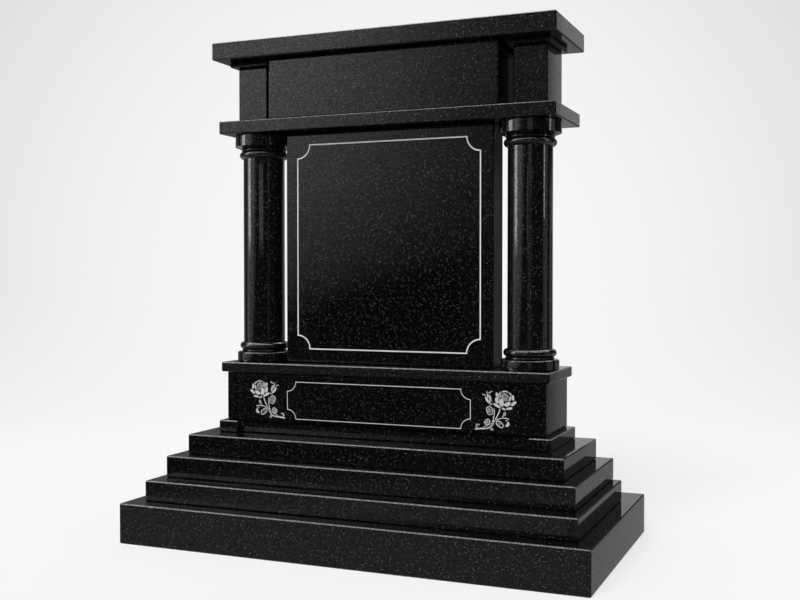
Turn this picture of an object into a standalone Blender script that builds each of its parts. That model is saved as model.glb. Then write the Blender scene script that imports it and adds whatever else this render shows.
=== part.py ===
"""Headstone of polished black granite: a stepped base, a die with an engraved panel, a bare tablet
between two turned columns, and a flat entablature.

Metres, +Z up, +X to the viewer's right, -Y to the viewer. The origin is on the ground under the
middle of the plinth. Every stone is its own solid, and a thin bedding joint parts it from the next.
"""

import math
from collections import namedtuple

import bmesh
import bpy

# Joints and edges
JOINT = 0.0003                     # bedding joint between two stones
ARRIS = 0.003                      # flat taken off every sawn edge
TURNED_ARRIS = 0.0015              # flat taken off the turned discs' outer edges

# Die: the upright block that carries the engraved panel
DIE_WIDTH = 1.014
DIE_DEPTH = 0.240
DIE_HEIGHT = 0.150
PANEL_END_MARGIN = 0.046           # plain strip left at each end, outside the proud panel
PANEL_TOP_MARGIN = 0.010
PANEL_FOOT_MARGIN = 0.001
PANEL_PROUD = 0.010                # how far the panel stands out of the die
PANEL_BEVEL = 0.005                # slope all round the panel

# Engraved line frames with scooped corners
LINE_WIDTH = 0.004
LINE_DEPTH = 0.0012
ROSE_FIELD = 0.1645                # field at each end of the panel, outside its line frame
PANEL_FRAME_MARGIN = 0.0085        # panel face above and below its line frame
PANEL_SCOOP_RADIUS = 0.0285
TABLET_FRAME_SIDE = 0.0395
TABLET_FRAME_TOP = 0.038
TABLET_FRAME_FOOT = 0.042
TABLET_SCOOP_RADIUS = 0.041

# Slab on the die
CAP_HEIGHT = 0.030
CAP_SIDE = 0.013                   # how far it passes the die at each end
CAP_FRONT = 0.015
CAP_BACK = 0.005

# Base moulding under the die, with a block at each front corner
MOULDING_HEIGHT = 0.036
MOULDING_SIDE = 0.019
MOULDING_FRONT = 0.019
MOULDING_BACK = 0.024
MOULDING_RECESS = 0.022            # depth of the front between its corner blocks

# Steps, counted from the ground, each given by the ledge that it leaves on all sides of the next
STEP_4_HEIGHT = 0.061
STEP_4_SIDE = 0.057
STEP_4_FRONT = 0.085
STEP_4_BACK = 0.026
STEP_3_HEIGHT = 0.064
STEP_3_SIDE = 0.0435
STEP_3_FRONT = 0.052
STEP_3_BACK = 0.038
STEP_2_HEIGHT = 0.060
STEP_2_SIDE = 0.0245               # its back is flush with the step above
STEP_2_FRONT = 0.073
PLINTH_HEIGHT = 0.118
PLINTH_SIDE = 0.047
PLINTH_FRONT = 0.061
PLINTH_BACK = 0.118

# Columns
COLUMN_HEIGHT = 0.704
COLUMN_INSET = 0.0743              # axis, in from the end of the die
COLUMN_SETBACK = 0.1003            # axis, behind the front of the die
SHAFT_RADIUS = 0.0628
TORUS_HEIGHT = 0.023
TORUS_PROJECTION = 0.013
BEAD_HEIGHT = 0.007
BEAD_PROJECTION = 0.007
BASE_DISC_HEIGHT = 0.029
BASE_DISC_PROJECTION = 0.0207
BASE_DISC_ROUNDING = 0.005
CAPITAL_DISC_HEIGHT = 0.035
CAPITAL_DISC_PROJECTION = 0.0262
CAPITAL_SPLAY_HEIGHT = 0.0075      # slope under the capital's disc

# Tablet
TABLET_THICKNESS = 0.089
TABLET_SETBACK = 0.066             # face, behind the front of the die
TABLET_CLEARANCE = 0.0092          # gap to the capitals

# Architrave, on the columns and the tablet
ARCHITRAVE_HEIGHT = 0.039
ARCHITRAVE_DEPTH = 0.282
ARCHITRAVE_SIDE = 0.0113           # past the capitals, at each end
ARCHITRAVE_FRONT = 0.0145          # past the capitals, at the front

# Frieze block and the posts beside it
FRIEZE_HEIGHT = 0.184
FRIEZE_SETBACK = 0.013             # in from the architrave's front and back
FRIEZE_GAP = 0.0305                # to each post
POST_WIDTH = 0.100
POST_DEPTH = 0.161
POST_END_INSET = 0.038             # in from the end of the architrave
POST_SETBACK = 0.055               # behind the architrave's front
POST_CAP_HEIGHT = 0.015
POST_CAP_SIDE = 0.015
POST_CAP_FRONT = 0.028
POST_CAP_BACK = 0.006

# Cornice
CORNICE_HEIGHT = 0.054
CORNICE_SIDE = 0.0075              # past the architrave
CORNICE_FRONT = 0.028
CORNICE_BACK = 0.020

# Roundness of the turned and engraved work
TURNED_SIDES = 40
TORUS_STEPS = 8
BEAD_STEPS = 4
ROUNDING_STEPS = 2
SCOOP_STEPS = 8
SMOOTH_ANGLE = math.radians(35)

# Polished stone
GRANITE_COLOUR = (0.012, 0.013, 0.014, 1.0)
GRANITE_ROUGHNESS = 0.06
GRANITE_METALLIC = 0.0

Block = namedtuple("Block", "left right front back bottom top")


def around(block, side, front, back):
    """Plan of a stone that passes another one by the given amounts."""
    return block._replace(left=block.left - side, right=block.right + side,
                          front=block.front - front, back=block.back + back)


def raised(block, level, height):
    """The block as one course: it stands on level, with its bedding joint under it."""
    return block._replace(bottom=level + JOINT, top=level + height)


def moved_back(block, distance):
    return block._replace(front=block.front + distance, back=block.back + distance)


def mirrored(block):
    return block._replace(left=-block.right, right=-block.left)


# Plans, from the die outwards, with the die's front at Y 0
die_plan = Block(-DIE_WIDTH / 2, DIE_WIDTH / 2, 0.0, DIE_DEPTH, 0.0, 0.0)
cap_plan = around(die_plan, CAP_SIDE, CAP_FRONT, CAP_BACK)
moulding_plan = around(die_plan, MOULDING_SIDE, MOULDING_FRONT, MOULDING_BACK)
step_4_plan = around(moulding_plan, STEP_4_SIDE, STEP_4_FRONT, STEP_4_BACK)
step_3_plan = around(step_4_plan, STEP_3_SIDE, STEP_3_FRONT, STEP_3_BACK)
step_2_plan = around(step_3_plan, STEP_2_SIDE, STEP_2_FRONT, 0.0)
plinth_plan = around(step_2_plan, PLINTH_SIDE, PLINTH_FRONT, PLINTH_BACK)

column_x = DIE_WIDTH / 2 - COLUMN_INSET
column_y = COLUMN_SETBACK
capital_radius = SHAFT_RADIUS + CAPITAL_DISC_PROJECTION
tablet_half = column_x - capital_radius - TABLET_CLEARANCE
tablet_plan = Block(-tablet_half, tablet_half, TABLET_SETBACK, TABLET_SETBACK + TABLET_THICKNESS, 0.0, 0.0)

architrave_half = column_x + capital_radius + ARCHITRAVE_SIDE
architrave_front = column_y - capital_radius - ARCHITRAVE_FRONT
architrave_plan = Block(-architrave_half, architrave_half,
                        architrave_front, architrave_front + ARCHITRAVE_DEPTH, 0.0, 0.0)
post_right = architrave_half - POST_END_INSET
post_front = architrave_front + POST_SETBACK
post_plan = Block(post_right - POST_WIDTH, post_right, post_front, post_front + POST_DEPTH, 0.0, 0.0)
post_cap_plan = around(post_plan, POST_CAP_SIDE, POST_CAP_FRONT, POST_CAP_BACK)
frieze_half = post_plan.left - FRIEZE_GAP
frieze_plan = around(architrave_plan, 0.0, -FRIEZE_SETBACK, -FRIEZE_SETBACK)
frieze_plan = frieze_plan._replace(left=-frieze_half, right=frieze_half)
cornice_plan = around(architrave_plan, CORNICE_SIDE, CORNICE_FRONT, CORNICE_BACK)

# The plinth's middle goes over the origin
centre_y = (plinth_plan.front + plinth_plan.back) / 2

# Levels of the courses, each the top of the one below
step_2_level = PLINTH_HEIGHT
step_3_level = step_2_level + STEP_2_HEIGHT
step_4_level = step_3_level + STEP_3_HEIGHT
moulding_level = step_4_level + STEP_4_HEIGHT
die_level = moulding_level + MOULDING_HEIGHT
cap_level = die_level + DIE_HEIGHT
column_level = cap_level + CAP_HEIGHT
architrave_level = column_level + COLUMN_HEIGHT
frieze_level = architrave_level + ARCHITRAVE_HEIGHT
cornice_level = frieze_level + FRIEZE_HEIGHT
post_cap_level = cornice_level - POST_CAP_HEIGHT


def clear_scene():
    for thing in list(bpy.data.objects):
        bpy.data.objects.remove(thing, do_unlink=True)


def granite(name):
    """Polished black granite, one material for each stone."""
    material = bpy.data.materials.new(name + "_granite")
    material.use_nodes = True
    shader = material.node_tree.nodes["Principled BSDF"]
    shader.inputs["Base Color"].default_value = GRANITE_COLOUR
    shader.inputs["Roughness"].default_value = GRANITE_ROUGHNESS
    shader.inputs["Metallic"].default_value = GRANITE_METALLIC
    material.diffuse_color = GRANITE_COLOUR
    return material


def add_object(name, mesh_data, stone=True):
    """Puts a bmesh into the scene as a named object and frees it."""
    bmesh.ops.recalc_face_normals(mesh_data, faces=mesh_data.faces[:])
    mesh = bpy.data.meshes.new(name)
    mesh_data.to_mesh(mesh)
    mesh_data.free()
    result = bpy.data.objects.new(name, mesh)
    bpy.context.scene.collection.objects.link(result)
    if stone:
        mesh.materials.append(granite(name))
    return result


def add_prism(mesh_data, outline, rise):
    """Extrudes a flat closed outline of points along the vector rise."""
    corners = [mesh_data.verts.new(point) for point in outline]
    face = mesh_data.faces.new(corners)
    extruded = bmesh.ops.extrude_face_region(mesh_data, geom=[face])
    moved = [part for part in extruded["geom"] if isinstance(part, bmesh.types.BMVert)]
    bmesh.ops.translate(mesh_data, verts=moved, vec=rise)


def bevel_edges(stone, width):
    bevel = stone.modifiers.new("arris", "BEVEL")
    bevel.width = width
    bevel.segments = 1
    bevel.limit_method = "ANGLE"
    bevel.angle_limit = SMOOTH_ANGLE


def slab(name, block):
    """A sawn rectangular stone with its edges taken off."""
    mesh_data = bmesh.new()
    outline = [(block.left, block.front, block.bottom), (block.right, block.front, block.bottom),
               (block.right, block.back, block.bottom), (block.left, block.back, block.bottom)]
    add_prism(mesh_data, outline, (0.0, 0.0, block.top - block.bottom))
    stone = add_object(name, mesh_data)
    bevel_edges(stone, ARRIS)
    return stone


def guide(name, mesh_data):
    """A hidden shape that only joins or cuts a stone."""
    shape = add_object(name, mesh_data, stone=False)
    shape.hide_render = True
    shape.display_type = "WIRE"
    return shape


def combine(stone, other, operation):
    boolean = stone.modifiers.new(other.name, "BOOLEAN")
    boolean.operation = operation
    boolean.solver = "EXACT"
    boolean.object = other


def scooped_outline(half_width, low, high, radius, offset, y):
    """Rectangle in a vertical plane whose corners are scooped out by quarter circles.

    Each quarter circle is centred on a corner of the line's own rectangle. A positive offset moves
    the whole outline outwards, which widens the rectangle and tightens its scoops.
    """
    scoop = radius - offset
    lean = math.asin(offset / scoop)
    quarter = [math.pi / 2 - lean + (math.pi / 2 + 2 * lean) * step / SCOOP_STEPS
               for step in range(SCOOP_STEPS + 1)]
    corner = [(math.cos(angle), -math.sin(angle)) for angle in quarter]
    points = [(half_width + scoop * x, high + scoop * z) for x, z in corner]
    points += [(-half_width - scoop * x, high + scoop * z) for x, z in reversed(corner)]
    points += [(-half_width - scoop * x, low - scoop * z) for x, z in corner]
    points += [(half_width + scoop * x, low - scoop * z) for x, z in reversed(corner)]
    return [(x, y, z) for x, z in points]


def engrave_frame(stone, half_width, low, high, radius, face_y):
    """Cuts a shallow line frame into the stone's front face."""
    mesh_data = bmesh.new()
    start = face_y - LINE_DEPTH
    outer = scooped_outline(half_width, low, high, radius, LINE_WIDTH / 2, start)
    inner = scooped_outline(half_width, low, high, radius, -LINE_WIDTH / 2, start)
    rings = []
    for outline in (outer, inner):
        corners = [mesh_data.verts.new(point) for point in outline]
        edges = [mesh_data.edges.new((corners[i - 1], corners[i])) for i in range(len(corners))]
        rings.extend(edges)
    bridged = bmesh.ops.bridge_loops(mesh_data, edges=rings)
    extruded = bmesh.ops.extrude_face_region(mesh_data, geom=bridged["faces"])
    moved = [part for part in extruded["geom"] if isinstance(part, bmesh.types.BMVert)]
    bmesh.ops.translate(mesh_data, verts=moved, vec=(0.0, 2 * LINE_DEPTH, 0.0))
    combine(stone, guide(stone.name + "_line", mesh_data), "DIFFERENCE")


def make_die(block):
    """The die with its proud, bevelled panel and the panel's engraved line frame."""
    stone = slab("die", block)
    half = block.right - PANEL_END_MARGIN
    low = block.bottom + PANEL_FOOT_MARGIN
    high = block.top - PANEL_TOP_MARGIN
    face_y = block.front - PANEL_PROUD
    slope_y = face_y + PANEL_BEVEL
    root_y = block.front + PANEL_PROUD

    mesh_data = bmesh.new()
    outline = [(-half, root_y, low), (half, root_y, low), (half, root_y, high), (-half, root_y, high)]
    add_prism(mesh_data, outline, (0.0, slope_y - root_y, 0.0))
    front = min(mesh_data.faces, key=lambda face: face.calc_center_median().y)
    sloped = bmesh.ops.extrude_face_region(mesh_data, geom=[front])
    moved = [part for part in sloped["geom"] if isinstance(part, bmesh.types.BMVert)]
    bmesh.ops.delete(mesh_data, geom=[front], context="FACES_ONLY")
    for corner in moved:
        corner.co.x -= math.copysign(PANEL_BEVEL, corner.co.x)
        corner.co.z += PANEL_BEVEL if corner.co.z < (low + high) / 2 else -PANEL_BEVEL
        corner.co.y = face_y
    combine(stone, guide("die_panel", mesh_data), "UNION")

    engrave_frame(stone, half - ROSE_FIELD - PANEL_BEVEL,
                  low + PANEL_BEVEL + PANEL_FRAME_MARGIN, high - PANEL_BEVEL - PANEL_FRAME_MARGIN,
                  PANEL_SCOOP_RADIUS, face_y)
    return stone


def make_moulding(block):
    """The slab under the die: its front is cut back between two corner blocks."""
    inner = die_plan.right - PANEL_END_MARGIN
    recess = block.front + MOULDING_RECESS
    outline = [(block.left, block.front), (-inner, block.front), (-inner, recess), (inner, recess),
               (inner, block.front), (block.right, block.front), (block.right, block.back),
               (block.left, block.back)]
    mesh_data = bmesh.new()
    add_prism(mesh_data, [(x, y, block.bottom) for x, y in outline], (0.0, 0.0, block.top - block.bottom))
    stone = add_object("base_moulding", mesh_data)
    bevel_edges(stone, ARRIS)
    return stone


def arc(centre_radius, centre_z, radius, start, end, steps):
    """Points of a turned curve as (radius, height), with angles counted up from level."""
    angles = [start + (end - start) * step / steps for step in range(steps + 1)]
    return [(centre_radius + radius * math.cos(angle), centre_z + radius * math.sin(angle))
            for angle in angles]


def half_round(low, height, projection, steps):
    """A torus or bead on the shaft: a round nose that starts at low and stands out by projection."""
    radius = height / 2
    centre = SHAFT_RADIUS + projection - radius
    return arc(centre, low + radius, radius, -math.pi / 2, math.pi / 2, steps)


def onto_shaft(points):
    """Keeps a turned curve from going in past the shaft's own surface."""
    return [(max(radius, SHAFT_RADIUS), height) for radius, height in points]


def column_profile(bottom, top):
    """The column's outline from its foot to its head: disc, bead, torus, shaft and back again."""
    base_radius = SHAFT_RADIUS + BASE_DISC_PROJECTION
    profile = [(0.0, bottom), (base_radius - TURNED_ARRIS, bottom), (base_radius, bottom + TURNED_ARRIS)]
    disc_top = bottom + BASE_DISC_HEIGHT
    profile += arc(base_radius - BASE_DISC_ROUNDING, disc_top - BASE_DISC_ROUNDING,
                   BASE_DISC_ROUNDING, 0.0, math.pi / 2, ROUNDING_STEPS)
    bead_low = disc_top
    profile += onto_shaft(half_round(bead_low, BEAD_HEIGHT, BEAD_PROJECTION, BEAD_STEPS))
    torus_low = bead_low + BEAD_HEIGHT
    profile += onto_shaft(half_round(torus_low, TORUS_HEIGHT, TORUS_PROJECTION, TORUS_STEPS))[1:]

    splay_top = top - CAPITAL_DISC_HEIGHT
    bead_high = splay_top - CAPITAL_SPLAY_HEIGHT
    torus_high = bead_high - BEAD_HEIGHT
    profile += onto_shaft(half_round(torus_high - TORUS_HEIGHT, TORUS_HEIGHT, TORUS_PROJECTION, TORUS_STEPS))
    profile += onto_shaft(half_round(bead_high - BEAD_HEIGHT, BEAD_HEIGHT, BEAD_PROJECTION, BEAD_STEPS))[1:]
    profile += [(SHAFT_RADIUS + BEAD_PROJECTION, bead_high), (capital_radius, splay_top),
                (capital_radius, top - TURNED_ARRIS), (capital_radius - TURNED_ARRIS, top), (0.0, top)]
    return profile


def make_column(name, x, y, bottom, top):
    """One stone turned from foot to head."""
    mesh_data = bmesh.new()
    points = [mesh_data.verts.new((radius, 0.0, height)) for radius, height in column_profile(bottom, top)]
    edges = [mesh_data.edges.new(pair) for pair in zip(points, points[1:])]
    bmesh.ops.spin(mesh_data, geom=points + edges, cent=(0.0, 0.0, 0.0), axis=(0.0, 0.0, 1.0),
                   angle=2 * math.pi, steps=TURNED_SIDES, use_merge=True)
    bmesh.ops.remove_doubles(mesh_data, verts=mesh_data.verts[:], dist=0.00001)
    column = add_object(name, mesh_data)
    column.location = (x, y, 0.0)
    column.data.shade_smooth()
    column.data.set_sharp_from_angle(angle=SMOOTH_ANGLE)
    return column


def centred(block):
    """Moves a plan from the die's datum to the plinth's middle."""
    return moved_back(block, -centre_y)


def make_base():
    plinth = centred(plinth_plan)._replace(bottom=0.0, top=PLINTH_HEIGHT)
    slab("base_plinth", plinth)
    slab("step_2", raised(centred(step_2_plan), step_2_level, STEP_2_HEIGHT))
    slab("step_3", raised(centred(step_3_plan), step_3_level, STEP_3_HEIGHT))
    slab("step_4", raised(centred(step_4_plan), step_4_level, STEP_4_HEIGHT))
    make_moulding(raised(centred(moulding_plan), moulding_level, MOULDING_HEIGHT))


def make_body():
    make_die(raised(centred(die_plan), die_level, DIE_HEIGHT))
    slab("die_cap", raised(centred(cap_plan), cap_level, CAP_HEIGHT))
    tablet_block = raised(centred(tablet_plan), column_level, COLUMN_HEIGHT)
    tablet = slab("tablet", tablet_block)
    engrave_frame(tablet, tablet_half - TABLET_FRAME_SIDE, tablet_block.bottom + TABLET_FRAME_FOOT,
                  tablet_block.top - TABLET_FRAME_TOP, TABLET_SCOOP_RADIUS, tablet_block.front)
    for name, x in (("column_left", -column_x), ("column_right", column_x)):
        make_column(name, x, column_y - centre_y, column_level + JOINT, architrave_level)


def make_entablature():
    slab("architrave", raised(centred(architrave_plan), architrave_level, ARCHITRAVE_HEIGHT))
    slab("frieze_block", raised(centred(frieze_plan), frieze_level, FRIEZE_HEIGHT))
    post = raised(centred(post_plan), frieze_level, FRIEZE_HEIGHT - POST_CAP_HEIGHT)
    post_cap = raised(centred(post_cap_plan), post_cap_level, POST_CAP_HEIGHT)
    slab("post_right", post)
    slab("post_left", mirrored(post))
    slab("post_cap_right", post_cap)
    slab("post_cap_left", mirrored(post_cap))
    slab("cornice", raised(centred(cornice_plan), cornice_level, CORNICE_HEIGHT))


def main():
    clear_scene()
    make_base()
    make_body()
    make_entablature()


main()
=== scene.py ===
# %% [markdown]
# # A headstone of polished black granite
#
# The memorial is stacked from sawn slabs, two turned columns, an upright tablet and a low die.
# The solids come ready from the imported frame, each in its true place. This lesson gives every
# stone its polish, turns the columns finely, cuts the line frames and the roses, and lights it all
# as in a white studio.
#
# Everything is in metres, with +Z up, +X to the viewer's right and the viewer on the -Y side.

# %% The fixed frame
import math

import bpy
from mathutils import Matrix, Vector


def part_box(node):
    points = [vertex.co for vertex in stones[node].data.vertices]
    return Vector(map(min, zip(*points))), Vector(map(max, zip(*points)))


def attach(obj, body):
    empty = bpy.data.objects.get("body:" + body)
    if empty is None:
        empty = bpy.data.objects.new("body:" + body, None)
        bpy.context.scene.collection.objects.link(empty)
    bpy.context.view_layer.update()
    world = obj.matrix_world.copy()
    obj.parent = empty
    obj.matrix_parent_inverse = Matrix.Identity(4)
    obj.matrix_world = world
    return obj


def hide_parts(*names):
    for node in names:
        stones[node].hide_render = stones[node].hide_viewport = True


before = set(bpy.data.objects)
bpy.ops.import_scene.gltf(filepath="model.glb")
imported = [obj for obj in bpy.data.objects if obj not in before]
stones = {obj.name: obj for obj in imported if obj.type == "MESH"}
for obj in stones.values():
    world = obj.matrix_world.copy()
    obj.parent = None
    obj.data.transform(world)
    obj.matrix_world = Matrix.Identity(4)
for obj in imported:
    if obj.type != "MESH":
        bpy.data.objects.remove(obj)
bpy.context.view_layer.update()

print("stones:", ", ".join(sorted(stones)))

# %% [markdown]
# ## The camera
#
# The camera stands to the right of the stone at about chest height, turned left towards it. A
# lens a little longer than normal keeps the slabs' edges from fanning out too much.

# %% Camera
LENS = 48.20                       # millimetres, on a sensor 36 mm wide
CAMERA_PLACE = (1.2684, -2.9339, 0.7811)
CAMERA_TURN = math.radians(22.709)
CAMERA_DIP = math.radians(1.223)

bpy.ops.object.camera_add(location=CAMERA_PLACE, rotation=(math.pi / 2 - CAMERA_DIP, 0.0, CAMERA_TURN))
camera = bpy.context.object
camera.data.lens = LENS
camera.data.sensor_width = 36.0
bpy.context.scene.camera = camera
bpy.context.scene.view_settings.view_transform = "Standard"
print("camera:", [round(part, 3) for part in camera.location], "lens", LENS)

# %% [markdown]
# ## Sums with shader nodes
#
# A finish is a network of nodes, and most of them only add, multiply or compare. It reads more
# easily as a formula, so a small class wraps one output of a node, and Python's own operators
# add the Math nodes. Every other kind of node comes from one method, `add`.


# %% One wire
class Wire:
    """One output of a shader node, which Python can do sums with."""

    def __init__(self, finish, socket):
        self.finish = finish
        self.socket = socket

    def __add__(self, other):
        return self.finish.sum("ADD", self, other)

    __radd__ = __add__

    def __mul__(self, other):
        return self.finish.sum("MULTIPLY", self, other)

    __rmul__ = __mul__

    def __sub__(self, other):
        return self.finish.sum("SUBTRACT", self, other)

    def __rsub__(self, other):
        return self.finish.sum("SUBTRACT", other, self)

    def __truediv__(self, other):
        return self.finish.sum("DIVIDE", self, other)

    def __pow__(self, other):
        return self.finish.sum("POWER", self, other)


# %% A finish
class Finish:
    """A node tree that is being filled."""

    def __init__(self, tree):
        self.tree = tree

    def feed(self, socket, value):
        if isinstance(value, Wire):
            self.tree.links.new(value.socket, socket)
        else:
            socket.default_value = value

    def add(self, kind, settings=(), inputs=(), output=0):
        """One node: its settings first, then the values or wires of its sockets."""
        node = self.tree.nodes.new(kind)
        for name, value in dict(settings).items():
            setattr(node, name, value)
        for name, value in dict(inputs).items():
            self.feed(node.inputs[name], value)
        return Wire(self, node.outputs[output])

    def sum(self, operation, first, second=0.0):
        return self.add("ShaderNodeMath", {"operation": operation}, {0: first, 1: second})

    def step(self, value, start, end, low=0.0, high=1.0):
        """Goes smoothly from low to high while value goes from start to end."""
        return self.add("ShaderNodeMapRange", {"interpolation_type": "SMOOTHSTEP"},
                        {"Value": value, "From Min": start, "From Max": end, "To Min": low, "To Max": high})

    def blend(self, share, first, second):
        """A colour between two colours."""
        return self.add("ShaderNodeMix", {"data_type": "RGBA"}, {0: share, 6: first, 7: second}, output=2)

    def place(self, shift=(0.0, 0.0, 0.0), turn=(0.0, 0.0, 0.0)):
        """Object coordinates, moved and turned."""
        spot = self.add("ShaderNodeTexCoord", output="Object")
        return self.add("ShaderNodeMapping", {"vector_type": "POINT"},
                        {"Vector": spot, "Location": shift, "Rotation": turn})

    def cells(self, spot, count, output):
        """Three-dimensional cells, so many in a metre."""
        return self.add("ShaderNodeTexVoronoi", inputs={"Vector": spot, "Scale": count}, output=output)

    def axes(self, vector):
        """The X, Y and Z of a vector as three wires."""
        node = self.add("ShaderNodeSeparateXYZ", inputs={0: vector}).socket.node
        return [Wire(self, socket) for socket in node.outputs]


# %% A new material
def new_material(name):
    """A material with an empty finish and the socket names of its Principled shader."""
    material = bpy.data.materials.new(name)
    material.use_nodes = True
    return material, Finish(material.node_tree), material.node_tree.nodes["Principled BSDF"].inputs


# %% [markdown]
# ## Polished black granite
#
# The stone is nearly black, and its crystals are one to two millimetres across. The polish shows
# them in two ways: most crystals mirror hardly more than the dark ground, but a few mirror the
# studio far better, and here and there a tiny grey flake stands out by its own colour. The grain
# is cut from the whole block, so it is made of three-dimensional cells on Object coordinates,
# and each stone reads another place of it, because no grain runs across a joint. The cells lie
# in a lattice, which is turned aslant, so that none of its layers shows as streaks on a face.

# %% Granite
STONE_BLACK = (0.0004, 0.0005, 0.0005, 1.0)
STONE_DARK = (0.0022, 0.0027, 0.0026, 1.0)
FLAKE_GREY = (0.200, 0.222, 0.214, 1.0)
STONE_IOR = 1.22                   # the dark ground mirrors very little
CRYSTAL_IOR = 1.50                 # the bright crystals mirror well
CRYSTAL_CELLS = 560.0              # cells in a metre
CRYSTAL_RARITY = 3                 # the higher, the fewer crystals mirror well
CRYSTAL_MIRROR = 0.7               # how much of the best mirror a crystal reaches
CRYSTAL_POLISH = 0.03
FLAKE_CELLS = 430.0
FLAKE_RARITY = 14
FLAKE_RIM = (0.30, 0.20)           # a flake fades in between these distances from its cell's middle
FLAKE_SPREAD = 0.16                # how much the flakes differ in size
POLISH = 0.05                      # roughness of the polished face
POLISH_SPREAD = 0.05
BLOCK_SHIFT = (0.37, 0.19, 0.71)   # from the grain of one block to the next
GRAIN_TURN = (0.61, 0.47, 0.33)
print("a crystal is about", round(1000 / CRYSTAL_CELLS, 1), "mm wide")


# %% The granite's nodes
def polished_granite(name, block):
    """The polished stone's finish; block is the number of the block that it was sawn from."""
    material, finish, shader = new_material(name)
    spot = finish.place(tuple(block * part for part in BLOCK_SHIFT), GRAIN_TURN)

    tone, chance, polish = finish.axes(finish.cells(spot, CRYSTAL_CELLS, "Color"))
    mirror = chance ** CRYSTAL_RARITY * CRYSTAL_MIRROR

    rare, size = finish.axes(finish.cells(spot, FLAKE_CELLS, "Color"))[:2]
    reach = finish.cells(spot, FLAKE_CELLS, "Distance")
    flake = rare ** FLAKE_RARITY * finish.step(reach - size * FLAKE_SPREAD, *FLAKE_RIM)

    ground = finish.blend(tone, STONE_BLACK, STONE_DARK)
    finish.feed(shader["Base Color"], finish.blend(flake, ground, FLAKE_GREY))
    finish.feed(shader["Roughness"], polish * POLISH_SPREAD + POLISH - POLISH_SPREAD / 2)
    finish.feed(shader["Coat Weight"], mirror)
    shader["IOR"].default_value = STONE_IOR
    shader["Coat IOR"].default_value = CRYSTAL_IOR
    shader["Coat Roughness"].default_value = CRYSTAL_POLISH
    return material


def give_finish(piece, material):
    piece.data.materials.clear()
    piece.data.materials.append(material)


for block, name in enumerate(sorted(stones)):
    give_finish(stones[name], polished_granite(name + "_granite", block))
print("granite finishes:", len(stones))

# %% [markdown]
# ## Modelling helpers
#
# Operators act on whatever is selected, so each piece starts from nothing selected. A finished
# piece keeps its place in its mesh: its object stays at the origin, unturned and unscaled.
#
# A flat shape is drawn as filled curves with thickness. Each patch is a curve of its own,
# because one curve fills wrongly where two of its outlines touch.


# %% Selecting and naming
MERGE_WITHIN = 0.000005            # metres between points that become one


def start_afresh():
    bpy.ops.object.select_all(action="DESELECT")


def choose(piece):
    """Selects one piece alone and makes it the active one."""
    start_afresh()
    piece.select_set(True)
    bpy.context.view_layer.objects.active = piece


def name_piece(name):
    """Names the active object, writes its place into its mesh, and gives it back."""
    piece = bpy.context.object
    bpy.ops.object.transform_apply(location=True, rotation=True, scale=True)
    piece.name = name
    piece.data.name = name
    return piece


def close_up(piece):
    """Merges doubled points and turns all faces outwards."""
    choose(piece)
    bpy.ops.object.mode_set(mode="EDIT")
    bpy.ops.mesh.select_all(action="SELECT")
    bpy.ops.mesh.remove_doubles(threshold=MERGE_WITHIN)
    bpy.ops.mesh.normals_make_consistent(inside=False)
    bpy.ops.object.mode_set(mode="OBJECT")


# %% Cutting and joining
def carve(piece, tool, operation="DIFFERENCE"):
    """Cuts the tool out of the piece, or joins it on, and takes the tool away."""
    choose(piece)
    cut = piece.modifiers.new("cut", "BOOLEAN")
    cut.operation = operation
    cut.solver = "EXACT"
    cut.object = tool
    bpy.ops.object.modifier_apply(modifier=cut.name)
    bpy.data.objects.remove(tool)


# %% Blocks and flat shapes
def sawn_block(name, low, high, arris, flats=1):
    """A block between two corners, with its edges taken off in one flat or more."""
    start_afresh()
    middle = (low + high) / 2
    bpy.ops.mesh.primitive_cube_add(size=1.0, location=middle, scale=high - low)
    piece = name_piece(name)
    bpy.ops.object.mode_set(mode="EDIT")
    bpy.ops.mesh.select_all(action="SELECT")
    bpy.ops.mesh.bevel(offset=arris, segments=flats, affect="EDGES")
    bpy.ops.object.mode_set(mode="OBJECT")
    return piece


def flat_shape(name, patches, front, back):
    """Patches with thickness from front to back; a patch is an outline of (x, z) points and its holes."""
    start_afresh()
    for patch in patches:
        curve = bpy.data.curves.new(name, "CURVE")
        curve.dimensions = "2D"
        curve.fill_mode = "BOTH"
        curve.extrude = (back - front) / 2
        for outline in patch:
            spline = curve.splines.new("POLY")
            spline.points.add(len(outline) - 1)
            for point, (x, z) in zip(spline.points, outline):
                point.co = (x, z, 0.0, 1.0)
            spline.use_cyclic_u = True
        flat = bpy.data.objects.new(name, curve)
        bpy.context.scene.collection.objects.link(flat)
        flat.location = (0.0, (front + back) / 2, 0.0)
        flat.rotation_euler = (math.pi / 2, 0.0, 0.0)
        flat.select_set(True)
    bpy.context.view_layer.objects.active = flat
    bpy.ops.object.convert(target="MESH")
    bpy.ops.object.join()
    shape = name_piece(name)
    close_up(shape)
    return shape


# %% [markdown]
# ## The columns
#
# Each column is one turned stone. From the foot up it has a disc with a rounded upper edge, a
# bead, a torus and the shaft, and under its head the same torus and bead, a short splay and a
# taller disc. A lathe follows one outline round an axis, and here a round of points is raised
# and widened from one point of that outline to the next.

# %% Measures of a column
SHAFT_RADIUS = 0.0628
TORUS_HEIGHT = 0.023
TORUS_PROJECTION = 0.013
BEAD_HEIGHT = 0.007
BEAD_PROJECTION = 0.007
BASE_DISC_HEIGHT = 0.029
BASE_DISC_PROJECTION = 0.0207
BASE_DISC_ROUNDING = 0.005
CAPITAL_DISC_HEIGHT = 0.035
CAPITAL_DISC_PROJECTION = 0.0262
CAPITAL_SPLAY_HEIGHT = 0.0075
TURNED_ARRIS = 0.0015
TURNED_SIDES = 128
ROUNDING_STEPS = 6
BEAD_STEPS = 8
TORUS_STEPS = 14
SMOOTH_UNDER = math.radians(28)    # edges sharper than this stay crisp
print("shaft diameter:", round(2000 * SHAFT_RADIUS, 1), "mm")


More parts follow.
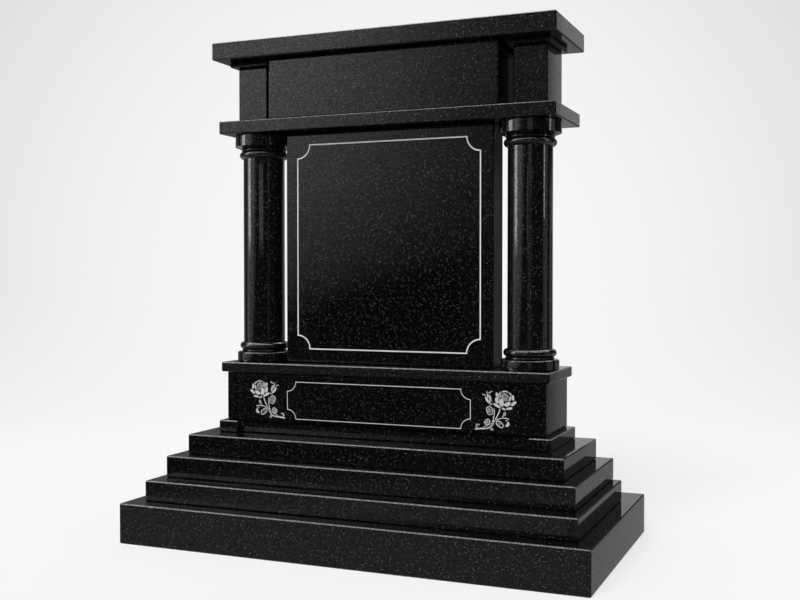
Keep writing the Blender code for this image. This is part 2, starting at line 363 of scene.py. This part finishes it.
# %% Outline of a column
def arc(centre_radius, centre_height, radius, start, end, steps):
    """Points of a round stretch of the outline as (radius, height), angles in degrees up from level."""
    angles = [math.radians(start + (end - start) * step / steps) for step in range(steps + 1)]
    return [(centre_radius + radius * math.cos(angle), centre_height + radius * math.sin(angle))
            for angle in angles]


def round_nose(low, height, projection, steps):
    """A torus or a bead on the shaft."""
    radius = height / 2
    nose = arc(SHAFT_RADIUS + projection - radius, low + radius, radius, -90.0, 90.0, steps)
    return [(max(reach, SHAFT_RADIUS), level) for reach, level in nose]


def column_outline(foot, head):
    """The whole outline from foot to head, as (radius, height)."""
    base = SHAFT_RADIUS + BASE_DISC_PROJECTION
    capital = SHAFT_RADIUS + CAPITAL_DISC_PROJECTION
    disc_top = foot + BASE_DISC_HEIGHT
    outline = [(base - TURNED_ARRIS, foot), (base, foot + TURNED_ARRIS)]
    outline += arc(base - BASE_DISC_ROUNDING, disc_top - BASE_DISC_ROUNDING, BASE_DISC_ROUNDING,
                   0.0, 90.0, ROUNDING_STEPS)
    outline += round_nose(disc_top, BEAD_HEIGHT, BEAD_PROJECTION, BEAD_STEPS)
    outline += round_nose(disc_top + BEAD_HEIGHT, TORUS_HEIGHT, TORUS_PROJECTION, TORUS_STEPS)[1:]
    splay_top = head - CAPITAL_DISC_HEIGHT
    bead_top = splay_top - CAPITAL_SPLAY_HEIGHT
    torus_top = bead_top - BEAD_HEIGHT
    outline += round_nose(torus_top - TORUS_HEIGHT, TORUS_HEIGHT, TORUS_PROJECTION, TORUS_STEPS)
    outline += round_nose(torus_top, BEAD_HEIGHT, BEAD_PROJECTION, BEAD_STEPS)[1:]
    outline += [(SHAFT_RADIUS + BEAD_PROJECTION, bead_top), (capital, splay_top),
                (capital, head - TURNED_ARRIS), (capital - TURNED_ARRIS, head)]
    return outline


print("points in the outline:", len(column_outline(0.0, 1.0)))


# %% Turning
def turned_column(name, low, high):
    """Raises and widens a round face along the outline, as a lathe would leave it."""
    outline = column_outline(low.z, high.z)
    radius, level = outline[0]
    axis = Vector(((low.x + high.x) / 2, (low.y + high.y) / 2, 0.0))
    start_afresh()
    bpy.ops.mesh.primitive_circle_add(vertices=TURNED_SIDES, radius=radius, fill_type="NGON",
                                      location=(axis.x, axis.y, level))
    piece = name_piece(name)
    bpy.ops.object.mode_set(mode="EDIT")
    bpy.ops.mesh.select_mode(type="FACE")
    bpy.ops.mesh.select_all(action="SELECT")
    for (before, start), (after, end) in zip(outline, outline[1:]):
        bpy.ops.mesh.extrude_region_move(TRANSFORM_OT_translate={"value": (0.0, 0.0, end - start)})
        share = after / before
        bpy.ops.transform.resize(value=(share, share, 1.0), center_override=axis)
    bpy.ops.object.mode_set(mode="OBJECT")
    close_up(piece)
    bpy.ops.object.shade_smooth_by_angle(angle=SMOOTH_UNDER)
    return piece


for block, side in ((20, "left"), (21, "right")):
    node = "column_" + side
    column = turned_column("turned_column_" + side, *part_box(node))
    give_finish(column, polished_granite(node + "_turned_granite", block))
    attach(column, "root")
    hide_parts(node)
    print(column.name, "faces:", len(column.data.polygons))

# %% [markdown]
# ## The engraved line frames
#
# The tablet and the die's panel each carry a thin line, cut a little over a millimetre deep and
# filled with pale silver grey. Its corners are scooped out by quarter circles that are centred
# on the corners of the line's own rectangle. One outline is drawn twice, a little wider and a
# little tighter, and what lies between the two is both the tool that cuts the groove and the
# filling that is laid into it.

# %% Line frames
ARRIS = 0.003                      # the flat along a sawn slab's edges
TABLET_LINE_WIDTH = 0.0038
DIE_LINE_WIDTH = 0.0021
LINE_DEPTH = 0.0012
LINE_FILL = 0.0004                 # the filling lies this far under the polished face
SCOOP_STEPS = 20


def scooped_outline(half_width, low, high, radius, offset):
    """Rectangle with its corners scooped out; a positive offset moves the whole line outwards."""
    scoop = radius - offset
    lean = math.asin(offset / scoop)
    quarter = [math.pi / 2 - lean + (math.pi / 2 + 2 * lean) * step / SCOOP_STEPS
               for step in range(SCOOP_STEPS + 1)]
    corner = [(scoop * math.cos(angle), scoop * math.sin(angle)) for angle in quarter]
    outline = [(half_width + x, high - z) for x, z in corner]
    outline += [(-half_width - x, high - z) for x, z in reversed(corner)]
    outline += [(-half_width - x, low + z) for x, z in corner]
    outline += [(half_width + x, low + z) for x, z in reversed(corner)]
    return outline


def frame_line(half_width, low, high, radius, width):
    """One patch: the line's outer outline, and its inner one as the hole."""
    return [[scooped_outline(half_width, low, high, radius, offset)
             for offset in (width / 2, -width / 2)]]


print("points in one outline of a line frame:", 4 * (SCOOP_STEPS + 1))


# %% Engraving
def engrave(stone, name, patches, face, depth, fill_depth):
    """Cuts the patches into the stone's front face, and gives back the filling of the cut."""
    carve(stone, flat_shape("tool", patches, face - depth, face + depth))
    filling = flat_shape(name, patches, face + fill_depth, face + depth)
    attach(filling, "root")
    print(name, "cut", round(1000 * depth, 2), "mm deep, faces:", len(filling.data.polygons))
    return filling


# %% [markdown]
# ## The rose sprays
#
# At each end of the panel a rose is etched: a full bloom, a bud, four leaves and a stem that ends
# in a tendril. An etcher works through a stencil, so every petal is a patch of its own, with a
# thin bridge of polished stone between it and the next. Four kinds of patch are enough:
# a petal between a root and a tip, a stroke along a smooth line, a ring, and a swirl. They are
# drawn in millimetres from the middle of the bloom, for the spray at the right end, and the left
# one is the same drawing mirrored.

# %% Smooth strokes
STROKE_STEPS = 5                   # points between two that are given


def bow(points, steps):
    """A smooth line through a few points."""
    path = [points[0]] + list(points) + [points[-1]]
    line = []
    for stretch in zip(path, path[1:], path[2:], path[3:]):
        for step in range(steps):
            t = step / steps
            line.append(tuple(0.5 * (2 * b + (c - a) * t + (2 * a - 5 * b + 4 * c - d) * t * t
                                     + (3 * b - a - 3 * c + d) * t ** 3) for a, b, c, d in zip(*stretch)))
    return line + [tuple(points[-1])]


def stroke(points, thick, thin):
    """A band along a smooth line, which narrows on its way."""
    line = bow(points, STROKE_STEPS)
    left, right = [], []
    for place, (x, z) in enumerate(line):
        back, ahead = line[max(place - 1, 0)], line[min(place + 1, len(line) - 1)]
        run, rise = ahead[0] - back[0], ahead[1] - back[1]
        half = (thick + (thin - thick) * place / (len(line) - 1)) / 2 / math.hypot(run, rise)
        left.append((x - rise * half, z + run * half))
        right.append((x + rise * half, z - run * half))
    return [[left + right[::-1]]]


print("points in a stroke through three points:", len(stroke([(0, 0), (1, 1), (2, 0)], 1, 1)[0][0]))


# %% Petals, rings and swirls
PETAL_STEPS = 12
PETAL_FULLNESS = 0.65              # 1 gives a plain oval, less a fuller one
SWIRL_STEPS = 8                    # points in one turn
SWIRL_WAY = 0.85                   # how far it winds in
SWIRL_THINNING = 0.8


def petal(root, tip, width, bend=0.0):
    """A full oval from its root to its tip; bend bulges it to the left of that way."""
    run, rise = tip[0] - root[0], tip[1] - root[1]
    length = math.hypot(run, rise)
    outline = []
    for step in range(2 * PETAL_STEPS):
        angle = math.pi * step / PETAL_STEPS
        along = 0.5 - 0.5 * math.cos(angle)
        across = math.copysign(abs(math.sin(angle)) ** PETAL_FULLNESS, math.sin(angle)) * width / 2
        across = (across + 4 * bend * along * (1 - along)) / length
        outline.append((root[0] + run * along - rise * across, root[1] + rise * along + run * across))
    return [[outline]]


def ring(centre, length, width, turn, thickness):
    """An oval ring, turned by so many degrees."""
    reach = (length / 2 * math.cos(math.radians(turn)), length / 2 * math.sin(math.radians(turn)))
    patch = []
    for inset in (0.0, thickness):
        share = 1 - 2 * inset / length
        patch += petal((centre[0] - reach[0] * share, centre[1] - reach[1] * share),
                       (centre[0] + reach[0] * share, centre[1] + reach[1] * share), width - 2 * inset)[0]
    return [patch]


def swirl(centre, radius, turns, thickness):
    """A band that winds in to the middle."""
    count = round(SWIRL_STEPS * turns)
    points = []
    for step in range(count + 1):
        angle = math.pi / 2 + 2 * math.pi * turns * step / count
        reach = radius * (1 - SWIRL_WAY * step / count)
        points.append((centre[0] + reach * math.cos(angle), centre[1] + reach * math.sin(angle)))
    return stroke(points, thickness, thickness * SWIRL_THINNING)


print("points in a petal:", 2 * PETAL_STEPS)


# %% [markdown]
# The bloom has seven outer petals, a cup of three with the rims of four more behind it, and a
# tightly wound heart. The bud stands on its own stalk, and the leaves are curled outlines, two of
# them with a swirl inside, as in old pattern books.

# %% Bloom and bud
def bloom():
    """Outer petals, the cup and the heart."""
    outer = (petal((-24.2, 10.3), (-24.2, 21.8), 7.4) + petal((-22, -9), (-24.7, 9.2), 9.6, 1.2)
             + petal((-34.5, -9.8), (-13.4, -20.8), 7.4, 0.6) + petal((-9.8, -20.3), (1.2, -26.2), 5.2)
             + petal((2.8, -22.6), (21, -19.8), 6.8) + petal((17, -13), (31.5, -1.2), 8.6)
             + petal((22.8, 1.2), (21.8, 16.2), 7.6))
    cup = (petal((-8.5, -16.4), (-13.5, 4.5), 13.8) + petal((-2.8, -12.9), (14.8, -4.2), 11, -1.5)
           + petal((12.8, -0.2), (15.6, 13), 6.0)
           + stroke([(-18.3, 4), (-18.5, 14), (-13.5, 23.5)], 3.0, 3.4)
           + stroke([(-14.2, 7), (-13.9, 14), (-10.5, 19.5)], 2.4, 2.6)
           + stroke([(-9.5, 23.6), (0, 26.2), (8, 23.4)], 3.4, 3.4)
           + stroke([(10.2, 22.2), (15, 19.3), (17.3, 14.8)], 3.4, 3.0))
    heart = (swirl((1, 11.5), 9.8, 2.4, 1.8)
             + stroke([(-10.2, 14), (-9.2, 7), (-3.5, 0.9), (4, -0.5), (10, 2.6)], 1.8, 1.8))
    return outer + cup + heart


def bud():
    return (petal((-43.5, -9), (-57.2, 9), 7.4, 2.0) + petal((-42.5, -5), (-46, 14), 5.4, -1.0)
            + petal((-49.2, 4.8), (-52, 18), 4.6) + petal((-45.4, -12.8), (-37, -8.8), 2.8, -0.6)
            + stroke([(-57.5, 12), (-61.5, 14.8), (-67, 15)], 3.0, 1.8)
            + stroke([(-54.5, 19), (-53, 22), (-52.5, 24)], 2.6, 1.6)
            + stroke([(-48.5, 18.5), (-43.5, 22), (-38.5, 25)], 2.4, 3.0))


print("patches in the bloom and the bud:", len(bloom()), len(bud()))


# %% Leaves and stems
def leaves():
    return (ring((-45, -29.5), 25, 20, 110, 2.6) + swirl((-45, -29.5), 6.6, 1.7, 1.9)
            + ring((-52.5, -61.5), 19, 14.5, 40, 2.6) + petal((-57, -65.5), (-49, -58), 4.0)
            + ring((-15.5, -66.5), 25, 16, -38, 2.8) + swirl((-16, -66), 4.8, 1.1, 1.5)
            + petal((1.5, -72), (9, -58), 8.5, -3.2) + petal((0.5, -56), (7, -54.8), 3.2)
            + ring((-1.6, -37), 10, 7.6, 70, 2.4) + ring((-39, -81), 9.5, 7, -20, 2.2))


def stems():
    return (stroke([(-14.4, -23.6), (-17, -31), (-22, -42), (-28.5, -54)], 3.4, 3.0)
            + stroke([(-32.3, -22.5), (-31.3, -34), (-33, -45), (-34.2, -55)], 2.2, 3.2)
            + petal((-38.5, -59.2), (-28.5, -57.8), 5.2)
            + stroke([(-36.5, -63), (-44, -67.8), (-54, -72.3), (-64, -77.3)], 2.6, 2.0)
            + stroke([(-33, -62.5), (-37, -69.5), (-44.5, -76), (-56, -80.2), (-70, -81), (-88, -83.3)],
                     2.8, 4.8)
            + stroke([(-80, -77.8), (-84.3, -76), (-83.5, -71.5), (-79, -69.3), (-74.5, -72)], 3.2, 2.2)
            + stroke([(-27, -56.5), (-19, -52), (-9, -49), (2, -48.8), (11.5, -51.5)], 2.6, 2.6)
            + stroke([(-6.9, -46.4), (-6.6, -43.5), (-6, -41.6)], 3.4, 2.4))


print("patches in the leaves and the stems:", len(leaves()), len(stems()))


# %% The whole spray
def spray(middle_x, middle_z, side):
    """The whole drawing at its place on the panel; side is 1 at the right end and -1 at the left."""
    return [[[(middle_x + side * x / 1000, middle_z + z / 1000) for x, z in outline] for outline in patch]
            for patch in bloom() + bud() + leaves() + stems()]


print("patches in a spray:", len(spray(0.0, 0.0, 1)))

# %% [markdown]
# ## The pale filling
#
# The filling is a matt silver grey paint. It is laid by hand, so its tone wanders a little and its surface
# is slightly grainy. The one paint is given three brightnesses, and part of that is painted light.

# %% Filling
# Painted light: the tablet's line is painted lighter to make up for the shade that the architrave casts on
# it. The die's line and the roses are painted darker.
TABLET_PAINT_LIGHTENED = (0.60, 0.61, 0.60, 1.0)
DIE_PAINT = (0.50, 0.51, 0.50, 1.0)
ROSE_PAINT = (0.38, 0.39, 0.38, 1.0)
WORN_SHARE = 0.7                   # how bright the paint still is where it is thinnest
CLOUD_SCALE = 60.0
GRIT_SCALE = 900.0
GRIT_HEIGHT = 0.0002


def pale_filling(name, paint):
    """Matt paint whose tone wanders in soft clouds and fine grit."""
    material, finish, shader = new_material(name)
    spot = finish.place()
    cloud = finish.add("ShaderNodeTexNoise", inputs={"Vector": spot, "Scale": CLOUD_SCALE, "Detail": 3.0})
    grit = finish.add("ShaderNodeTexNoise", inputs={"Vector": spot, "Scale": GRIT_SCALE, "Detail": 2.0})
    worn = tuple(WORN_SHARE * part for part in paint[:3]) + (1.0,)
    finish.feed(shader["Base Color"], finish.blend(cloud * 0.5 + grit * 0.4, paint, worn))
    finish.feed(shader["Roughness"], grit * 0.3 + 0.45)
    bump = finish.add("ShaderNodeBump", inputs={"Strength": 0.3, "Distance": GRIT_HEIGHT, "Height": grit})
    finish.feed(shader["Normal"], bump)
    return material


print("brightness of the fillings:", TABLET_PAINT_LIGHTENED[0], DIE_PAINT[0], ROSE_PAINT[0])


# %% [markdown]
# ## The tablet
#
# The tablet is the tall slab between the columns. It bears no inscription, only the line frame,
# which keeps an even margin at the sides and a wider one at the foot.

# %% Tablet
TABLET_FRAME_SIDE = 0.0395
TABLET_FRAME_TOP = 0.038
TABLET_FRAME_FOOT = 0.042
TABLET_SCOOP_RADIUS = 0.041

tablet_low, tablet_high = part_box("tablet")
tablet = sawn_block("engraved_tablet", tablet_low, tablet_high, ARRIS)
tablet_line = engrave(tablet, "tablet_line",
                      frame_line(tablet_high.x - TABLET_FRAME_SIDE, tablet_low.z + TABLET_FRAME_FOOT,
                                 tablet_high.z - TABLET_FRAME_TOP, TABLET_SCOOP_RADIUS,
                                 TABLET_LINE_WIDTH),
                      tablet_low.y, LINE_DEPTH, LINE_FILL)
give_finish(tablet_line, pale_filling("tablet_line_paint", TABLET_PAINT_LIGHTENED))
give_finish(tablet, polished_granite("engraved_tablet_granite", 22))
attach(tablet, "root")
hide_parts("tablet")

# %% [markdown]
# ## The die and its panel
#
# The die is the low block under the tablet. Its front has a proud panel with sloped edges,
# which is made as a block of its own, bevelled along its front edges and joined to the die.

# %% The panel
PANEL_END_MARGIN = 0.046
PANEL_TOP_MARGIN = 0.010
PANEL_FOOT_MARGIN = 0.001
PANEL_PROUD = 0.010
PANEL_BEVEL = 0.005
ROSE_DEPTH = 0.0008
ROSE_FILL = 0.0003                 # the filling lies this far under the panel's face
ROSE_FIELD = 0.1645                # what the line frame leaves free at each end for a rose
PANEL_FRAME_MARGIN = 0.0085
PANEL_SCOOP_RADIUS = 0.0285
ROSE_INSET_LEFT = 0.0735           # from the panel's end to the middle of the bloom
ROSE_INSET_RIGHT = 0.0675
ROSE_HEIGHT = 0.0982               # of the middle of the bloom above the panel's foot


def panel_block(low, high):
    """A block whose front face is drawn in by the bevel."""
    start_afresh()
    bpy.ops.mesh.primitive_cube_add(size=1.0, location=(low + high) / 2, scale=high - low)
    piece = name_piece("panel")
    bpy.ops.object.mode_set(mode="EDIT")
    bpy.ops.mesh.select_mode(type="FACE")
    bpy.ops.mesh.select_all(action="DESELECT")
    bpy.ops.object.mode_set(mode="OBJECT")
    for face in piece.data.polygons:
        face.select = face.normal.y < -0.9
    bpy.ops.object.mode_set(mode="EDIT")
    bpy.ops.mesh.extrude_region_move(TRANSFORM_OT_translate={"value": (0.0, -PANEL_BEVEL, 0.0)})
    width, height = high.x - low.x, high.z - low.z
    bpy.ops.transform.resize(value=(1 - 2 * PANEL_BEVEL / width, 1.0, 1 - 2 * PANEL_BEVEL / height))
    bpy.ops.object.mode_set(mode="OBJECT")
    return piece


print("the panel stands proud by", 1000 * PANEL_PROUD, "mm")


# %% The die
die_low, die_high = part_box("die")
panel_face = die_low.y
die_front = die_low.y + PANEL_PROUD
panel_half = die_high.x - PANEL_END_MARGIN
panel_low = die_low.z + PANEL_FOOT_MARGIN
panel_high = die_high.z - PANEL_TOP_MARGIN

die = sawn_block("engraved_die", Vector((die_low.x, die_front, die_low.z)), die_high, ARRIS)
carve(die, panel_block(Vector((-panel_half, panel_face + PANEL_BEVEL, panel_low)),
                       Vector((panel_half, die_front + PANEL_PROUD, panel_high))), "UNION")
die_line = engrave(die, "die_line",
                   frame_line(panel_half - ROSE_FIELD - PANEL_BEVEL,
                              panel_low + PANEL_BEVEL + PANEL_FRAME_MARGIN,
                              panel_high - PANEL_BEVEL - PANEL_FRAME_MARGIN, PANEL_SCOOP_RADIUS,
                              DIE_LINE_WIDTH),
                   panel_face, LINE_DEPTH, LINE_FILL)
give_finish(die_line, pale_filling("die_line_paint", DIE_PAINT))
for side, word, inset in ((-1, "left", ROSE_INSET_LEFT), (1, "right", ROSE_INSET_RIGHT)):
    patches = spray(side * (panel_half - inset), panel_low + ROSE_HEIGHT, side)
    rose = engrave(die, "rose_" + word, patches, panel_face, ROSE_DEPTH, ROSE_FILL)
    give_finish(rose, pale_filling("rose_" + word + "_etching", ROSE_PAINT))
give_finish(die, polished_granite("engraved_die_granite", 23))
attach(die, "root")
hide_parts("die")

# %% [markdown]
# ## The architrave
#
# The slab on the columns shows one fine line of light along its upper front edge. A single flat
# there would only mirror the frieze block right behind it, so this edge is worked in two flats,
# as a hand-held polisher leaves it, and the lower one looks out to the front.

# %% Architrave
architrave = sawn_block("rounded_architrave", *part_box("architrave"), ARRIS, flats=2)
give_finish(architrave, polished_granite("rounded_architrave_granite", 24))
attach(architrave, "root")
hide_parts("architrave")
print(architrave.name, "faces:", len(architrave.data.polygons))

# %% [markdown]
# ## The floor and the sky
#
# The stone stands on a white floor that fades into a white background, so no horizon shows. A
# uniform white sky and a wide, soft sun from the front light everything that is matt.

# %% Floor
PURE_WHITE = (1.0, 1.0, 1.0, 1.0)
FLOOR_RADIUS = 9.0
FLOOR_FADE = (3.6, 1.5)            # gone at the first distance, solid at the second
FLOOR_WHITE = (0.55, 0.55, 0.55, 1.0)
FLOOR_GLOW = 0.48                  # the floor is lit a little from below, which keeps shadows faint


def white_floor():
    """A matt disc that mirrors nothing and fades out to all sides."""
    start_afresh()
    bpy.ops.mesh.primitive_circle_add(vertices=128, radius=FLOOR_RADIUS, fill_type="NGON")
    floor = name_piece("floor")
    material, finish, shader = new_material("floor_white")
    shader["Base Color"].default_value = FLOOR_WHITE
    shader["Roughness"].default_value = 1.0
    shader["Specular IOR Level"].default_value = 0.0
    shader["Emission Color"].default_value = PURE_WHITE
    shader["Emission Strength"].default_value = FLOOR_GLOW
    x, y = finish.axes(finish.place())[:2]
    finish.feed(shader["Alpha"], finish.step((x * x + y * y) ** 0.5, *FLOOR_FADE))
    give_finish(floor, material)
    floor.visible_glossy = False


white_floor()
print("floor radius:", FLOOR_RADIUS, "m")


# %% Sky and sun
FLOOR_LEVEL = 0.935                # the floor's brightness as the camera sees it
SKY_FOOT = (0.0, -0.20)            # how far below level the sky takes up the floor's brightness
SKY_STRENGTH = 0.42
SKY_EDGE = 0.66                    # how bright the background is far off to the sides
SKY_MIDDLE = 0.975                 # and straight behind the stone
SKY_REACH = (0.84, 1.04)           # of the cosine off the middle; the second is never quite reached
SUN_STRENGTH = 2.5
SUN_SPREAD = math.radians(55)
SUN_TURN = (math.radians(57), 0.0, math.radians(6))


def white_sky():
    """The background that the camera sees, and the even light that falls on the stone."""
    world = bpy.data.worlds.new("sky")
    bpy.context.scene.world = world
    world.use_nodes = True
    finish = Finish(world.node_tree)
    background = world.node_tree.nodes["Background"].inputs
    facing = Vector((-math.sin(CAMERA_TURN), math.cos(CAMERA_TURN), 0.0))
    direction = finish.add("ShaderNodeTexCoord", output="Generated")
    towards = finish.add("ShaderNodeVectorMath", {"operation": "DOT_PRODUCT"},
                         {0: direction, 1: facing}, output="Value")
    glow = finish.step(towards, *SKY_REACH, SKY_EDGE, SKY_MIDDLE)
    low_down = finish.step(finish.axes(direction)[2], *SKY_FOOT)
    glow = glow * (1.0 - low_down) + low_down * FLOOR_LEVEL
    seen = finish.add("ShaderNodeLightPath", output="Is Camera Ray")
    finish.feed(background["Strength"], seen * glow + (1.0 - seen) * SKY_STRENGTH)
    background["Color"].default_value = PURE_WHITE


def soft_sun():
    """A sun in front and above, as wide as a big studio umbrella; polish doesn't mirror it."""
    start_afresh()
    bpy.ops.object.light_add(type="SUN", rotation=SUN_TURN)
    sun = bpy.context.object
    sun.data.energy = SUN_STRENGTH
    sun.data.angle = SUN_SPREAD
    sun.visible_glossy = False
    sun.visible_camera = False


white_sky()
soft_sun()
print("sky and sun ready")

# %% [markdown]
# ## What the polish mirrors
#
# Black polished stone shows little of its own: one sees the studio in it. Round the stone
# stands a light tent that only reflections see. It is painted with light by direction: `aside`
# is the angle to the right of straight ahead of the front, and `height` the angle above level.
# High up it is very bright, which draws the thin light lines along the slabs' upper edges. To
# the left stands a wide softbox whose lower edge runs aslant, and two lamps hang just above the
# height of the lens, so that they light the tops of the columns. White paper lies on the ground
# all round, the walls in front are dim, and behind the stone it is white.

# %% Glowing material
def glowing_material(name):
    """A material that only shines, its finish and the socket of its strength."""
    material = bpy.data.materials.new(name)
    material.use_nodes = True
    material.node_tree.nodes.clear()
    finish = Finish(material.node_tree)
    emission = finish.add("ShaderNodeEmission")
    end = material.node_tree.nodes.new("ShaderNodeOutputMaterial")
    finish.feed(end.inputs["Surface"], emission)
    return material, finish, emission.socket.node.inputs["Strength"]


def only_mirrored(piece):
    """Sets a piece of the studio so that only reflections see it."""
    piece.visible_camera = False
    piece.visible_diffuse = False
    piece.visible_shadow = False


def between(finish, value, start, end, soft):
    """One from start to end, falling to nothing over the soft distance on both sides."""
    return finish.step(value, start - soft, start) * finish.step(value, end + soft, end)


# %% Softbox
SOFTBOX_SLANT = 0.33               # its lower edge rises so many degrees for each degree aside
SOFTBOX_LEVEL = -26.4              # how far aside that edge crosses the level of the lens
SOFTBOX_GROWTH = 0.8               # its glow grows upwards by this power of the degrees
SOFTBOX_MOST = 2.9
SOFTBOX_LEFT = (-85.0, -74.0)      # it fades in between these degrees aside
SOFTBOX_RIGHT = (-5.0, -10.0)      # and out between these
RIGHT_PART = (-15.0, -31.0, 0.064, 0.342)    # degrees aside, and its strength at each of them
LEFT_PART = (-42.0, -54.0, 1.0, 0.6)


def slanting_softbox(finish, aside, height):
    """Gets brighter upwards from its slanting edge, and weaker towards its right end."""
    above_edge = finish.sum("MAXIMUM", height - (aside - SOFTBOX_LEVEL) * SOFTBOX_SLANT, 0.0)
    strength = finish.step(aside, *RIGHT_PART)
    glow = finish.sum("MINIMUM", above_edge ** SOFTBOX_GROWTH * strength, SOFTBOX_MOST)
    glow = glow * finish.step(aside, *SOFTBOX_LEFT) * finish.step(aside, *SOFTBOX_RIGHT)
    return glow * finish.step(aside, *LEFT_PART)


print("the softbox's edge crosses the level of the lens at", SOFTBOX_LEVEL, "degrees")


# %% Lamps and walls
LAMP_FOOT = (2.4, 4.4)             # the lamps fade in between these degrees above level
SIDE_LAMP = 11.0
SIDE_LAMP_SPAN = (-68.0, -54.0, 2.0)    # from and to so many degrees aside, and how soft its ends are
FRONT_LAMP = 2.0
FRONT_LAMP_SPAN = (2.0, 22.0, 2.0)
FRONT_LAMP_TOP = (8.5, 7.5)
DIM_WALL = 0.06
LEFT_WALL = 0.14
LEFT_WALL_SPAN = (-140.0, -100.0, 16.0)
RIGHT_WALL = 0.4
RIGHT_WALL_SPAN = (132.0, 156.0, 8.0)
RIGHT_WALL_TOP = (9.0, 6.0)


def hanging_lamps(finish, aside, height):
    """A strong lamp far on the left and a low one a little right of the middle."""
    side_lamp = between(finish, aside, *SIDE_LAMP_SPAN) * SIDE_LAMP
    low = finish.step(height, *FRONT_LAMP_TOP)
    front_lamp = between(finish, aside, *FRONT_LAMP_SPAN) * low * FRONT_LAMP
    return (side_lamp + front_lamp) * finish.step(height, *LAMP_FOOT)


def dim_walls(finish, aside, height):
    """Dim all round, a little lighter at the left, and lighter low down at the far right."""
    left = between(finish, aside, *LEFT_WALL_SPAN) * LEFT_WALL + DIM_WALL
    low = finish.step(height, *RIGHT_WALL_TOP)
    return left + between(finish, aside, *RIGHT_WALL_SPAN) * low * RIGHT_WALL


print("side lamp", SIDE_LAMP, "front lamp", FRONT_LAMP, "walls", DIM_WALL)


# %% The tent
TENT_RADIUS = 30.0
PAPER = 0.56
PAPER_EDGE = (-9.2, -12.0)         # it begins this far below level
WHITE_WALL = (0.33, 0.60)          # behind the stone, below and above level
WHITE_WALL_CHANGE = (-3.0, 3.0)
FRONT_SPAN = (-164.4, 163.8, 1.2)  # the dim walls reach round to here, where the white one begins
TOP_LIGHT = 10.0
TOP_EDGE = (36.0, 48.0)


def light_tent():
    """A sphere whose inside glows by direction, as the functions above say."""
    start_afresh()
    bpy.ops.mesh.primitive_uv_sphere_add(segments=64, ring_count=32, radius=TENT_RADIUS)
    tent = name_piece("light_tent")
    material, finish, strength = glowing_material("tent_light")
    x, y, z = finish.axes(finish.place())
    aside = finish.sum("ARCTAN2", x, 0.0 - y) * math.degrees(1.0)
    height = finish.sum("ARCSINE", z / TENT_RADIUS) * math.degrees(1.0)

    softbox = slanting_softbox(finish, aside, height)
    lamps = hanging_lamps(finish, aside, height)
    paper = finish.step(height, *PAPER_EDGE, 0.0, PAPER)
    ahead = softbox + lamps + paper + dim_walls(finish, aside, height)
    front = between(finish, aside, *FRONT_SPAN)
    behind = finish.step(height, *WHITE_WALL_CHANGE, *WHITE_WALL)
    around = front * ahead + (1.0 - front) * behind
    top = finish.step(height, *TOP_EDGE)
    finish.feed(strength, around * (1.0 - top) + top * TOP_LIGHT)
    give_finish(tent, material)
    only_mirrored(tent)


light_tent()
print("tent ready, radius", TENT_RADIUS)

# %% [markdown]
# ## Panels close to the stone
#
# The tent is so wide that the whole stone sees it alike. A few upright panels stand so close
# that one column sees them where another does not. Three on the right put the last light
# stripes on the columns, a low strip in front puts a faint light on the front of the die's cap,
# and a dark one stands behind on the right: the ledges mirror it, and so darken the feet of the
# right faces above them.

# %% Panels
PANEL_CHANGE = (1.04, 1.16)        # a panel may change its glow between these heights


def glowing_panel(name, low, high, glow, top_glow):
    """An upright panel between two corners, with one glow below and one above."""
    start_afresh()
    low, high = Vector(low), Vector(high)
    bpy.ops.mesh.primitive_cube_add(size=1.0, location=(low + high) / 2, scale=high - low)
    panel = name_piece(name)
    material, finish, strength = glowing_material(name + "_light")
    z = finish.axes(finish.place())[2]
    finish.feed(strength, finish.step(z, *PANEL_CHANGE, glow, top_glow))
    give_finish(panel, material)
    only_mirrored(panel)
    print(name, "glows", glow, "below and", top_glow, "above")


glowing_panel("front_panel", (0.50, -0.80, 0.0), (0.78, -0.79, 1.8), 0.45, 0.90)
glowing_panel("side_panel", (1.10, -0.08, 0.0), (1.11, 0.25, 1.8), 0.9, 0.9)
glowing_panel("side_lamp", (1.08, -0.05, 0.98), (1.09, 0.03, 1.8), 8.0, 8.0)
glowing_panel("low_strip", (-1.20, -1.10, 0.385), (0.30, -1.09, 0.425), 0.35, 0.35)
glowing_panel("dark_flag", (0.90, 2.10, 0.42), (1.60, 2.11, 1.00), 0.13, 0.13)
